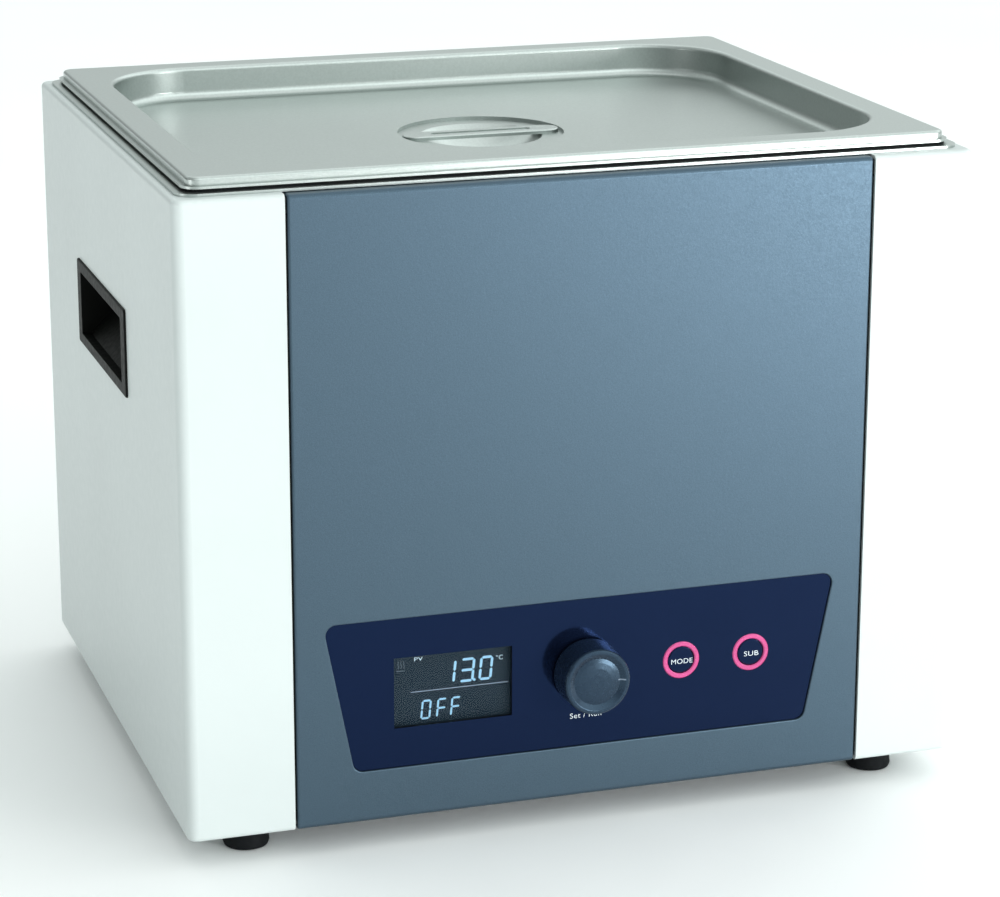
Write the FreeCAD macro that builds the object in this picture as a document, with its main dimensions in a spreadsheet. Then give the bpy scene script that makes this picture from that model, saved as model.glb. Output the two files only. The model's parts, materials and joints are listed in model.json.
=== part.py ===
import FreeCAD
import Part
import Sketcher
import math
import os
from FreeCAD import Placement, Rotation, Vector

# Bench-top laboratory water bath. Millimetres. +Z up, the front faces -Y, and the origin lies
# under the middle of the whole object's box, on the surface that its feet stand on.

DRIVING_SIZES = {
    # casing
    "casing_width": 342.0,
    "casing_depth": 286.0,
    "casing_height": 268.0,
    "skin": 1.5,
    "strip_width": 45.0,
    "corner_radius": 4.5,
    "shoulder_radius": 2.0,
    "hem_radius": 2.0,
    "panel_gap": 1.0,
    "panel_edge": 1.0,
    "panel_drop": 0.3,
    "top_return": 18.0,
    "foot_return": 14.0,
    "foot_height": 12.0,
    "foot_radius": 9.8,
    "foot_inset_side": 29.0,
    "foot_inset_end": 22.0,
    # tank and lid, made for a half-size gastronorm lid
    "tank_length": 300.0,
    "tank_breadth": 240.0,
    "tank_depth": 150.0,
    "tank_wall": 1.0,
    "tank_corner": 40.0,
    "tank_foot": 20.0,
    "flange_length": 335.0,
    "flange_breadth": 275.0,
    "flange_thick": 1.2,
    "flange_corner": 8.0,
    "seal_thick": 1.2,
    "seal_length": 327.0,
    "seal_breadth": 267.0,
    "seal_corner": 6.0,
    "lid_length": 325.0,
    "lid_breadth": 265.0,
    "lid_lip": 2.0,
    "lid_sheet": 1.0,
    "lid_height": 4.4,
    "lid_recess": 15.0,
    "lid_rim": 14.5,
    "crown_corner": 5.0,
    "crown_edge": 1.4,
    "lid_corner": 40.0,
    "lid_foot": 4.0,
    "lid_bend": 1.8,
    "bowl_radius": 27.5,
    "bowl_depth": 11.0,
    "dish_radius": 37.0,
    "dish_step": 1.5,
    "strap_length": 72.0,
    "strap_width": 12.0,
    "strap_thick": 1.8,
    "shelf_height": 14.0,
    # controls
    "knob_proud": 14.5,
    "rear_proud": 3.0,
    "panel_top_half": 113.0,
    "panel_foot_half": 100.3,
    "panel_foot_z": 22.5,
    "panel_rise": 65.3,
    "panel_corner": 4.5,
    "opening_edge": 0.5,
    "control_z": 55.7,
    "knob_x": 1.0,
    "button_z": 55.6,
    "mode_x": 43.8,
    "sub_x": 75.5,
    "window_x": -57.4,
    "window_z": 55.0,
    "window_wide": 51.3,
    "window_high": 30.8,
    "lens_thick": 2.0,
    "display_wide": 60.0,
    "display_high": 42.0,
    "display_gap": 1.6,
    "recess": 1.0,
    "overlay_thick": 0.5,
    "frame_thick": 3.0,
    "frame_flange": 6.0,
    "board_depth": 14.0,
    "board_thick": 1.6,
    # carrying handles
    "handle_y": 150.0,
    "handle_z": 182.5,
    "bezel_length": 104.0,
    "bezel_high": 38.5,
    "bezel_proud": 1.0,
    "bezel_corner": 1.5,
    "bezel_edge": 0.6,
    "pocket_length": 88.0,
    "pocket_high": 28.5,
    "pocket_depth": 16.0,
    # rear
    "inlet_x": 95.0,
    "rocker_x": 52.0,
    "rear_part_z": 42.0,
}


class Size:
    """A length that carries both its number and the sheet formula that gives it."""

    def __init__(self, value, formula):
        self.value = value
        self.formula = formula

    def join(self, sign, other, value):
        return Size(value, "(%s %s %s)" % (self.formula, sign, other.formula))

    def __add__(self, other):
        other = as_size(other)
        return self.join("+", other, self.value + other.value)

    def __sub__(self, other):
        other = as_size(other)
        return self.join("-", other, self.value - other.value)

    def __mul__(self, other):
        other = as_size(other)
        return self.join("*", other, self.value * other.value)

    def __truediv__(self, other):
        other = as_size(other)
        return self.join("/", other, self.value / other.value)

    def __radd__(self, other):
        return as_size(other) + self

    def __rsub__(self, other):
        return as_size(other) - self

    def __rmul__(self, other):
        return as_size(other) * self

    def __neg__(self):
        return as_size(0.0) - self


def as_size(number):
    if isinstance(number, Size):
        return number
    return Size(float(number), "(%r)" % float(number))


doc = FreeCAD.newDocument("water_bath")
sheet = doc.addObject("Spreadsheet::Sheet", "Dims")
for row, (alias, number) in enumerate(DRIVING_SIZES.items(), start=1):
    sheet.set("A%d" % row, alias)
    sheet.set("B%d" % row, str(number))
    sheet.setAlias("B%d" % row, alias)
doc.recompute()


def cell(alias):
    return Size(float(getattr(sheet, alias)), "Dims." + alias)


NODES = []


def node(obj, label):
    """Names a finished sub-part, which becomes one STEP file."""
    obj.Label = label
    NODES.append(obj)
    return obj


# ---------------------------------------------------------------- building blocks


def put(obj, at, rotation=None):
    if rotation is not None:
        obj.Placement = Placement(Vector(0, 0, 0), rotation)
    for axis, value in zip("xyz", at):
        obj.setExpression("Placement.Base." + axis, as_size(value).formula)
    return obj


def bind(obj, **sizes):
    for name, value in sizes.items():
        obj.setExpression(name, as_size(value).formula)
    return obj


def block(name, size, at):
    """A plain box: size along X, Y and Z, and its lowest corner."""
    obj = doc.addObject("Part::Box", name)
    bind(obj, Length=size[0], Width=size[1], Height=size[2])
    return put(obj, at)


TURNS = {"z": None, "y": Rotation(Vector(1, 0, 0), -90), "x": Rotation(Vector(0, 1, 0), 90),
         "-z": Rotation(Vector(1, 0, 0), 180), "-y": Rotation(Vector(1, 0, 0), 90)}


def rod(name, radius, length, at, along="z"):
    """A cylinder from its first end, along one axis."""
    obj = doc.addObject("Part::Cylinder", name)
    bind(obj, Radius=radius, Height=length)
    return put(obj, at, TURNS[along])


def hexagon(name, circumradius, length, at, along="z"):
    obj = doc.addObject("Part::Prism", name)
    obj.Polygon = 6
    bind(obj, Circumradius=circumradius, Height=length)
    return put(obj, at, TURNS[along])


def fuse(name, shapes):
    obj = doc.addObject("Part::MultiFuse", name)
    obj.Shapes = shapes
    return obj


def group(name, shapes):
    obj = doc.addObject("Part::Compound", name)
    obj.Links = shapes
    return obj


def cut(name, base, tools):
    obj = doc.addObject("Part::Cut", name)
    obj.Base = base
    obj.Tool = tools[0] if len(tools) == 1 else group(name + "_tools", tools)
    return obj


def mirrored(name, source):
    """The same piece on the other side of the YZ plane."""
    obj = doc.addObject("Part::Mirroring", name)
    obj.Source = source
    obj.Normal = Vector(1, 0, 0)
    return obj


def bent(name, base, where, alias):
    """Rounds the edges of a finished shape that pass the test, by a radius from the sheet."""
    radius = cell(alias).value
    obj = doc.addObject("Part::Fillet", name)
    obj.Base = base
    obj.Edges = [(i + 1, radius, radius) for i, e in enumerate(base.Shape.Edges) if where(e.BoundBox)]
    return obj


def new_body(name, at, rotation=None):
    return put(doc.addObject("PartDesign::Body", name), at, rotation)


def sketch_on(body, role):
    sketch = body.newObject("Sketcher::SketchObject", body.Name + "_sketch")
    plane = next(f for f in body.Origin.OriginFeatures if f.Role == role)
    sketch.AttachmentSupport = (plane, [""])
    sketch.MapMode = "FlatFace"
    return sketch


def fix_point(sketch, geometry, place, at):
    """Holds one sketch point at formulas measured from the sketch's origin."""
    for kind, axis, value in (("DistanceX", -2, at[0]), ("DistanceY", -1, at[1])):
        value = as_size(value)
        if abs(value.value) < 1e-9:
            sketch.addConstraint(Sketcher.Constraint("PointOnObject", geometry, place, axis))
            continue
        rule = Sketcher.Constraint(kind, -1, 1, geometry, place, value.value)
        number = sketch.addConstraint(rule)
        sketch.setExpression("Constraints[%d]" % number, value.formula)


def outline(sketch, corners):
    """A closed run of straight lines through the corners."""
    corners = [(as_size(u), as_size(v)) for u, v in corners]
    points = [Vector(u.value, v.value, 0) for u, v in corners]
    lines = []
    for start, end in zip(points, points[1:] + points[:1]):
        lines.append(sketch.addGeometry(Part.LineSegment(start, end)))
    for line, following in zip(lines, lines[1:] + lines[:1]):
        sketch.addConstraint(Sketcher.Constraint("Coincident", line, 2, following, 1))
    for line, corner in zip(lines, corners):
        fix_point(sketch, line, 1, corner)


def rectangle(sketch, centre, wide, high):
    u, v = centre
    wide = as_size(wide) / 2
    high = as_size(high) / 2
    outline(sketch, [(u - wide, v - high), (u + wide, v - high), (u + wide, v + high), (u - wide, v + high)])


def circle(sketch, centre, radius):
    u, v, radius = as_size(centre[0]), as_size(centre[1]), as_size(radius)
    shape = Part.Circle(Vector(u.value, v.value, 0), Vector(0, 0, 1), radius.value)
    number = sketch.addGeometry(shape)
    fix_point(sketch, number, 3, (u, v))
    rule = sketch.addConstraint(Sketcher.Constraint("Radius", number, radius.value))
    sketch.setExpression("Constraints[%d]" % rule, radius.formula)


def pad(body, sketch, length, centred=False, back=False, taper=0.0):
    feature = body.newObject("PartDesign::Pad", body.Name + "_pad")
    feature.Profile = (sketch, [""])
    bind(feature, Length=length)
    feature.Midplane = centred
    feature.Reversed = back
    feature.TaperAngle = taper
    doc.recompute()
    return feature


def pocket(body, sketch):
    """Cuts the sketch's outlines right through the body, both ways."""
    before = body.Shape.Volume
    feature = body.newObject("PartDesign::Pocket", body.Name + "_pocket")
    feature.Profile = (sketch, [""])
    feature.Type = "ThroughAll"
    feature.Midplane = True
    doc.recompute()
    if not body.Shape.Volume < before:
        raise RuntimeError("the pocket in %s cut nothing" % body.Name)
    return feature


def round_edges(body, where, radius):
    """Rounds the edges whose box passes the test."""
    base = body.Tip
    names = ["Edge%d" % (i + 1) for i, e in enumerate(base.Shape.Edges) if where(e.BoundBox)]
    if not names:
        raise RuntimeError("no edge to round in %s" % body.Name)
    feature = body.newObject("PartDesign::Fillet", body.Name + "_round")
    feature.Base = (base, names)
    bind(feature, Radius=radius)
    doc.recompute()
    return feature


def upright(box):
    return box.XLength < 0.01 and box.YLength < 0.01


def plate(name, wide, deep, thick, at, corner=None):
    """A flat block centred on (x, y) of its place, standing on z, with rounded upright edges."""
    body = new_body(name, at)
    sketch = sketch_on(body, "XY_Plane")
    rectangle(sketch, (0.0, 0.0), wide, deep)
    pad(body, sketch, as_size(thick))
    if corner is not None:
        round_edges(body, upright, corner)
    return body


def turned(name, profile, at, along="z"):
    """A solid of revolution: its profile is (radius, distance along the axis)."""
    body = new_body(name, at, TURNS[along])
    sketch = sketch_on(body, "XZ_Plane")
    outline(sketch, profile)
    feature = body.newObject("PartDesign::Revolution", name + "_turn")
    feature.Profile = (sketch, [""])
    feature.ReferenceAxis = (sketch, ["V_Axis"])
    feature.Angle = 360.0
    doc.recompute()
    return body


def screw(name, at, along, head_radius, head_length, shank_radius, shank_length):
    """A pan-head screw: its seat is at the place given, its shank runs along the axis."""
    dome = head_radius * 0.75
    profile = [
        (0.0, -head_length), (dome, -head_length), (head_radius, -head_length * 0.45), (head_radius, 0.0),
        (shank_radius, 0.0), (shank_radius, shank_length), (0.0, shank_length),
    ]
    return turned(name, profile, at, along)


# ---------------------------------------------------------------- reference places

WIDTH = cell("casing_width")
DEPTH = cell("casing_depth")
HEIGHT = cell("casing_height")
SKIN = cell("skin")
HALF = WIDTH / 2
UNDER = cell("foot_height")
TOP = UNDER + HEIGHT
FRONT = cell("knob_proud") / 2 - DEPTH / 2 - cell("rear_proud") / 2
REAR = FRONT + DEPTH
MIDDLE = FRONT + DEPTH / 2
STRIP = cell("strip_width")
PANEL_HALF = HALF - STRIP - cell("panel_gap")
FOOT_X = HALF - cell("foot_inset_side")
FOOT_PLACES = [(x, y) for x in (-FOOT_X, FOOT_X)
               for y in (FRONT + cell("foot_inset_end"), REAR - cell("foot_inset_end"))]
TANK_TOP = TOP + cell("flange_thick")
TANK_FLOOR = TANK_TOP - cell("tank_depth")
TANK_UNDER = TANK_FLOOR - cell("tank_wall")
MOUTH_CLEAR = 2.5
MOUTH_HALF_X = cell("tank_length") / 2 + cell("tank_wall") + MOUTH_CLEAR
MOUTH_HALF_Y = cell("tank_breadth") / 2 + cell("tank_wall") + MOUTH_CLEAR
BASE_TOP = UNDER + SKIN + SKIN
STUD_X = (MOUTH_HALF_X + HALF - SKIN) / 2 - 1.0
STUD_PLACES = [(x, MIDDLE + y) for x in (-STUD_X, STUD_X) for y in (-70.0, 70.0)]
SCREW_ROWS = [UNDER + 32.0, UNDER + HEIGHT / 2, TOP - 34.0]
REAR_SCREW_X = PANEL_HALF - 4.5
SIDE_SCREW_X = HALF - STRIP + 4.5
INLET_Z = UNDER + cell("rear_part_z")
INLET_SCREW_X = 16.7
INLET_BODY = (27.0, 44.0)
ROCKER_BODY = (13.4, 21.0)
PANEL_FIT = 0.4
SMALL_SCREW = (2.8, 1.9, 1.25, 6.0)
KNOB_X = cell("knob_x")
CONTROL_Z = UNDER + cell("control_z")
BUTTON_Z = UNDER + cell("button_z")
BUTTON_PLACES = {"mode": cell("mode_x"), "sub": cell("sub_x")}
PANEL_FOOT = UNDER + cell("panel_foot_z")
PANEL_TOP = PANEL_FOOT + cell("panel_rise")
WINDOW_Z = UNDER + cell("window_z")
FRAME_FRONT = FRONT + SKIN
FRAME_BACK = FRAME_FRONT + cell("frame_thick")
BOARD_FRONT = FRONT + cell("board_depth")
BOARD_BACK = BOARD_FRONT + cell("board_thick")
HANDLE_Y = FRONT + cell("handle_y")
HANDLE_Z = UNDER + cell("handle_z")


# ---------------------------------------------------------------- casing


def foot_holes(prefix, low, high):
    """Clearance holes for the four foot screws."""
    return [rod("%s_foot_hole_%d" % (prefix, i), 2.8, high - low, (x, y, low))
            for i, (x, y) in enumerate(FOOT_PLACES)]


def rear_holes(prefix, columns, start, length, radius=1.7):
    """Holes along Y for the rear screws, at every row in the columns given."""
    return [rod("%s_screw_hole_%d_%d" % (prefix, i, k), radius, length, (x, start, z), "y")
            for i, x in enumerate(columns) for k, z in enumerate(SCREW_ROWS)]


def wrap_block(name, size, at, corner, shoulder, hem):
    """A block rounded on the two upright edges of its +X side and all round its top and foot there."""
    body = new_body(name, at)
    sketch = sketch_on(body, "XY_Plane")
    outline(sketch, [(0.0, 0.0), (size[0], 0.0), (size[0], size[1]), (0.0, size[1])])
    pad(body, sketch, size[2])
    wide = size[0].value
    high = size[2].value
    round_edges(body, lambda b: upright(b) and b.XMin > wide - 0.01, corner)
    round_edges(body, lambda b: b.ZMin > high - 0.01 and b.XMax > 0.01, shoulder)
    round_edges(body, lambda b: b.ZMax < 0.01 and b.XMax > 0.01, hem)
    return body


def side_panels():
    outside = wrap_block("side_outside", (STRIP, DEPTH, HEIGHT), (HALF - STRIP, FRONT, UNDER),
                         cell("corner_radius"), cell("shoulder_radius"), cell("hem_radius"))
    inside = wrap_block("side_inside", (STRIP - SKIN + 1.0, DEPTH - SKIN * 2, HEIGHT - SKIN * 2),
                        (HALF - STRIP - 1.0, FRONT + SKIN, UNDER + SKIN),
                        cell("corner_radius") - SKIN, cell("shoulder_radius") - SKIN,
                        cell("hem_radius") - SKIN)
    mouth = block("side_mouth", (MOUTH_HALF_X, MOUTH_HALF_Y * 2, 20.0),
                  (0.0, MIDDLE - MOUTH_HALF_Y, TOP - 10.0))
    pocket_way = block("side_handle_way", (20.0, cell("pocket_length") + 4.0, cell("pocket_high") + 4.0),
                       (HALF - 10.0, HANDLE_Y - cell("pocket_length") / 2 - 2.0,
                        HANDLE_Z - cell("pocket_high") / 2 - 2.0))
    studs = [rod("side_stud_hole_%d" % i, 2.4, 10.0, (x, y, TOP - 5.0))
             for i, (x, y) in enumerate(STUD_PLACES)]
    tools = [inside, mouth, pocket_way, *studs, *foot_holes("side", UNDER - 2.0, UNDER + 5.0),
             *rear_holes("side", [SIDE_SCREW_X], REAR - 8.0, 16.0)]
    right = node(cut("right_side", outside, tools), "right_side_panel")
    node(mirrored("left_side", right), "left_side_panel")


def folded_panel(name, at, rotation=None):
    """A sheet between the side panels, bent back at its top and its foot."""
    body = new_body(name, at, rotation)
    high = HEIGHT - cell("panel_drop")
    deep = cell("top_return")
    short = cell("foot_return")
    sketch = sketch_on(body, "YZ_Plane")
    outline(sketch, [(0.0, 0.0), (0.0, high), (deep, high), (deep, high - SKIN), (SKIN, high - SKIN),
                     (SKIN, SKIN), (short, SKIN), (short, 0.0)])
    pad(body, sketch, PANEL_HALF * 2, centred=True)
    crease = cell("shoulder_radius")
    hem = cell("hem_radius")
    skin = SKIN.value
    for level, depth, radius in ((high.value, 0.0, crease), (high.value - skin, skin, crease - SKIN),
                                 (0.0, 0.0, hem), (skin, skin, hem - SKIN)):
        round_edges(body, lambda b: (b.XLength > 10 and abs(b.ZMin - level) < 0.01 and b.ZLength < 0.01
                                     and abs(b.YMin - depth) < 0.01 and b.YLength < 0.01), radius)
    round_edges(body, lambda b: upright(b) and b.YMax < 0.01 and b.ZLength > 100, cell("panel_edge"))
    return body


def trapezoid(margin):
    """Corners, from the casing's foot upwards, of the control area grown by a margin."""
    foot = cell("panel_foot_z") - margin
    top = cell("panel_foot_z") + cell("panel_rise") + margin
    low = cell("panel_foot_half") + margin
    high = cell("panel_top_half") + margin
    return [(-low, foot), (low, foot), (high, top), (-high, top)]


def front_panel():
    body = folded_panel("front_sheet", (0.0, FRONT, UNDER))
    sketch = sketch_on(body, "XZ_Plane")
    outline(sketch, trapezoid(0.0))
    pocket(body, sketch)
    foot = cell("panel_foot_z").value - 1.0
    top = foot + cell("panel_rise").value + 2.0
    round_edges(body, lambda b: (abs(b.YLength - SKIN.value) < 0.01 and b.XLength < 0.01
                                 and foot < b.ZMin < top), cell("panel_corner"))
    round_edges(body, lambda b: b.YMax < 0.01 and b.ZMin > foot and b.ZMax < top, cell("opening_edge"))
    node(body, "front_panel")


def rear_panel():
    body = folded_panel("rear_sheet", (0.0, REAR, UNDER), Rotation(Vector(0, 0, 1), 180))
    sketch = sketch_on(body, "XZ_Plane")
    level = cell("rear_part_z")
    for x, size in ((cell("inlet_x"), INLET_BODY), (cell("rocker_x"), ROCKER_BODY)):
        rectangle(sketch, (-x, level), size[0] + PANEL_FIT, size[1] + PANEL_FIT)
    for x in (-cell("inlet_x") - INLET_SCREW_X, -cell("inlet_x") + INLET_SCREW_X):
        circle(sketch, (x, level), 1.7)
    for x in (-REAR_SCREW_X, REAR_SCREW_X):
        for z in SCREW_ROWS:
            circle(sketch, (x, z - UNDER), 1.7)
    for column in range(-4, 5):
        for z in (158.0, 196.0):
            rectangle(sketch, (as_size(column * 19.0), as_size(z)), 5.0, 26.0)
    pocket(body, sketch)
    round_edges(body, lambda b: (abs(b.YLength - SKIN.value) < 0.01 and b.XLength < 0.01
                                 and b.ZMin > 140 and b.ZMin < 212), 2.2)
    node(body, "rear_panel")


def base_plate():
    body = plate("base_sheet", WIDTH - SKIN * 2 - 4.0, DEPTH - SKIN * 2 - 4.0, SKIN,
                 (0.0, MIDDLE, UNDER + SKIN), 8.0)
    sketch = sketch_on(body, "XY_Plane")
    for x in (-FOOT_X, FOOT_X):
        for y in (cell("foot_inset_end") - DEPTH / 2, DEPTH / 2 - cell("foot_inset_end")):
            circle(sketch, (x, y), 2.8)
    for column in range(-4, 5):
        for y in (-62.0, -30.0):
            rectangle(sketch, (as_size(column * 18.0), as_size(y)), 5.0, 22.0)
    pocket(body, sketch)
    node(body, "base_plate")


def joint_straps():
    """Upright strips behind the slits between the side panels and the middle sheets."""
    outer = HALF - STRIP + 8.5
    strips = []
    for end, start, lap in (("front", FRAME_FRONT, 6.5), ("rear", REAR - SKIN * 2, 9.0)):
        inner = PANEL_HALF - lap
        for side, x in (("right", inner), ("left", -outer)):
            strips.append(block("%s_%s_strap" % (end, side), (outer - inner, SKIN, HEIGHT - 16.0),
                                (x, start, UNDER + 8.0)))
    columns = [-REAR_SCREW_X, REAR_SCREW_X, -SIDE_SCREW_X, SIDE_SCREW_X]
    holes = rear_holes("strap", columns, REAR - 10.0, 20.0)
    node(cut("straps_drilled", group("strap_set", strips), holes), "joint_straps")


def feet():
    radius = cell("foot_radius")
    high = UNDER
    profile = [(6.0, 0.0), (radius - 1.8, 0.0), (radius - 0.5, 0.5), (radius, 1.8), (radius - 1.0, high),
               (2.8, high), (2.8, 5.0), (6.0, 5.0)]
    rubber = [turned("foot_%d" % i, profile, (x, y, 0.0)) for i, (x, y) in enumerate(FOOT_PLACES)]
    node(group("foot_set", rubber), "feet")
    screws = [screw("foot_screw_%d" % i, (x, y, 5.0), "z", 4.5, 2.6, 2.5, 14.5)
              for i, (x, y) in enumerate(FOOT_PLACES)]
    nuts = [cut("foot_nut_%d" % i, hexagon("foot_nut_blank_%d" % i, 4.6, 4.0, (x, y, BASE_TOP)),
                [rod("foot_nut_bore_%d" % i, 2.55, 6.0, (x, y, BASE_TOP - 1.0))])
            for i, (x, y) in enumerate(FOOT_PLACES)]
    node(group("foot_screw_set", screws + nuts), "foot_fasteners")


def rear_screws():
    columns = [-REAR_SCREW_X, REAR_SCREW_X, -SIDE_SCREW_X, SIDE_SCREW_X]
    screws = [screw("rear_screw_%d_%d" % (i, k), (x, REAR, z), "-y", 3.2, 1.9, 1.5, 9.0)
              for i, x in enumerate(columns) for k, z in enumerate(SCREW_ROWS)]
    node(group("rear_screw_set", screws), "rear_screws")


def handle_cups():
    """Recessed grips: deep behind their upper edge, with a floor that slopes out to the lower edge."""
    length = cell("pocket_length")
    high = cell("pocket_high")
    deep = cell("pocket_depth")
    face = HALF + cell("bezel_proud")
    barrel = block("cup_barrel", (deep + SKIN, length + 3.0, high + 3.0),
                   (HALF - deep - SKIN, HANDLE_Y - length / 2 - 1.5, HANDLE_Z - high / 2 - 1.5))
    bezel = new_body("cup_bezel", (HALF, HANDLE_Y, HANDLE_Z))
    sketch = sketch_on(bezel, "YZ_Plane")
    rectangle(sketch, (0.0, 0.0), cell("bezel_length"), cell("bezel_high"))
    pad(bezel, sketch, cell("bezel_proud"))
    proud = cell("bezel_proud").value
    round_edges(bezel, lambda b: b.XLength > proud / 2, cell("bezel_corner"))
    round_edges(bezel, lambda b: b.XMin > proud - 0.01, cell("bezel_edge"))
    hollow = new_body("cup_hollow", (HALF, HANDLE_Y, HANDLE_Z))
    sketch = sketch_on(hollow, "XZ_Plane")
    outer = cell("bezel_proud") + 1.0
    outline(sketch, [(outer, -high / 2), (outer, high / 2), (-deep, high / 2), (-deep, -2.0),
                     (-3.0, -high / 2)])
    pad(hollow, sketch, length, centred=True)
    round_edges(hollow, lambda b: b.XLength > 5 and b.YLength < 0.01 and b.ZLength < 0.01, 1.0)
    right = cut("right_cup", fuse("cup_blank", [barrel, bezel]), [hollow])
    node(right, "right_handle_cup")
    node(mirrored("left_cup", right), "left_handle_cup")


# ---------------------------------------------------------------- tank, shelf and lid


def drawn_block(name, length, breadth, high, at, corner, foot):
    """A block with rounded upright edges and a rounded foot, centred on (x, y)."""
    body = plate(name, length, breadth, high, at, corner)
    round_edges(body, lambda b: b.ZMax < 0.01, foot)
    return body


def tank():
    wall = cell("tank_wall")
    length = cell("tank_length")
    breadth = cell("tank_breadth")
    outside = drawn_block("tank_outside", length + wall * 2, breadth + wall * 2, TANK_TOP - TANK_UNDER,
                          (0.0, MIDDLE, TANK_UNDER), cell("tank_corner") + wall, cell("tank_foot") + wall)
    flange = plate("tank_flange", cell("flange_length"), cell("flange_breadth"), cell("flange_thick"),
                   (0.0, MIDDLE, TOP), cell("flange_corner"))
    inside = drawn_block("tank_inside", length, breadth, TANK_TOP - TANK_FLOOR + 5.0,
                         (0.0, MIDDLE, TANK_FLOOR), cell("tank_corner"), cell("tank_foot"))
    node(cut("tank_drawn", fuse("tank_blank", [outside, flange]), [inside]), "tank")
    seal_outside = plate("seal_outside", cell("seal_length"), cell("seal_breadth"), cell("seal_thick"),
                         (0.0, MIDDLE, TANK_TOP), cell("seal_corner"))
    seal_inside = plate("seal_inside", MOUTH_HALF_X * 2, MOUTH_HALF_Y * 2, 5.0,
                        (0.0, MIDDLE, TANK_TOP - 1.0), 42.0)
    node(cut("seal_ring", seal_outside, [seal_inside]), "rim_seal")


def flange_fixing():
    """Studs under the tank's flange, the clips that they hold and their nuts."""
    clip_top = TOP - SKIN
    studs = [rod("flange_stud_%d" % i, 2.0, 9.0, (x, y, TOP - 9.0)) for i, (x, y) in enumerate(STUD_PLACES)]
    clips = []
    nuts = []
    for i, (x, y) in enumerate(STUD_PLACES):
        sheet_clip = block("clip_blank_%d" % i, (8.0, 22.0, SKIN), (x - 4.0, y - 11.0, clip_top - SKIN))
        clip_hole = rod("clip_hole_%d" % i, 2.2, 5.0, (x, y, clip_top - 3.0))
        clips.append(cut("clip_%d" % i, sheet_clip, [clip_hole]))
        low = clip_top - SKIN - 3.2
        nuts.append(cut("clip_nut_%d" % i, hexagon("clip_nut_blank_%d" % i, 4.0, 3.2, (x, y, low)),
                        [rod("clip_nut_bore_%d" % i, 2.05, 6.0, (x, y, low - 1.0))]))
    node(group("clip_set", clips), "tank_clips")
    node(group("flange_stud_set", studs + nuts), "flange_fasteners")


def insulation():
    foot = TANK_UNDER + 8.0
    high = TOP - 9.0 - foot
    outside = plate("jacket_outside", 319.0, 259.0, high, (0.0, MIDDLE, foot), 49.0)
    inside = plate("jacket_inside", 303.0, 243.0, 200.0, (0.0, MIDDLE, foot - 5.0), 42.0)
    long = cell("pocket_length") + 8.0
    tall = cell("pocket_high") + 8.0
    notches = [block("jacket_notch_%d" % i, (20.0, long, tall), (x, HANDLE_Y - long / 2, HANDLE_Z - tall / 2))
               for i, x in enumerate((as_size(152.8), as_size(-172.8)))]
    node(cut("jacket", outside, [inside, *notches]), "wall_insulation")


def heater():
    """The flat heater pressed to the tank's underside, its sensor and its cut-out."""
    stud_places = [(x, MIDDLE + y) for x in (-95.0, 95.0) for y in (-65.0, 65.0)]
    mat_under = TANK_UNDER - 3.0
    clamp_under = mat_under - 1.5
    for label, size, low, thick in (("heater_mat", (220.0, 160.0), mat_under, 3.0),
                                    ("heater_clamp_plate", (208.0, 148.0), clamp_under, 1.5)):
        sheet_body = plate(label + "_blank", size[0], size[1], thick, (0.0, MIDDLE, low), 6.0)
        holes = [rod("%s_hole_%d" % (label, i), 3.0, 10.0, (x, y, low - 3.0))
                 for i, (x, y) in enumerate(stud_places)]
        node(cut(label + "_drilled", sheet_body, holes), label)
    studs = [rod("heater_stud_%d" % i, 2.5, 12.0, (x, y, TANK_UNDER - 12.0))
             for i, (x, y) in enumerate(stud_places)]
    nuts = [cut("heater_nut_%d" % i, hexagon("heater_nut_blank_%d" % i, 4.6, 4.0, (x, y, clamp_under - 4.0)),
                [rod("heater_nut_bore_%d" % i, 2.55, 8.0, (x, y, clamp_under - 6.0))])
            for i, (x, y) in enumerate(stud_places)]
    node(group("heater_stud_set", studs + nuts), "heater_fasteners")
    node(turned("cutout", [(0.0, 0.0), (8.0, 0.0), (8.0, -4.0), (6.0, -5.0), (6.0, -9.0), (0.0, -9.0)],
                (0.0, MIDDLE, clamp_under)), "thermal_cutout")
    probe_z = TANK_UNDER - 2.6
    node(rod("probe", 2.5, 34.0, (-125.0, MIDDLE - 17.0, probe_z), "y"), "temperature_probe")
    saddle = block("probe_saddle", (18.0, 12.0, 4.0), (-134.0, MIDDLE - 6.0, TANK_UNDER - 4.4))
    node(cut("probe_clip", saddle, [rod("probe_way", 2.55, 20.0, (-125.0, MIDDLE - 10.0, probe_z), "y")]),
         "probe_clip")


def shelf():
    """A perforated plate and its four legs, which stand on the tank's floor."""
    deck_z = TANK_FLOOR + cell("shelf_height")
    body = plate("shelf_deck", 284.0, 224.0, 1.2, (0.0, MIDDLE, deck_z), 34.0)
    sketch = sketch_on(body, "XY_Plane")
    for column in range(-3, 4):
        for row in (-1.5, -0.5, 0.5, 1.5):
            circle(sketch, (column * 36.0, row * 46.0), 6.5)
    pocket(body, sketch)
    legs = [block("shelf_leg_%d" % i, (24.0, 1.2, cell("shelf_height")), (x - 12.0, MIDDLE + y, TANK_FLOOR))
            for i, (x, y) in enumerate([(x, y) for x in (-90.0, 90.0) for y in (-93.2, 92.0)])]
    node(body, "perforated_shelf")
    node(group("shelf_leg_set", legs), "shelf_legs")


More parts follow.
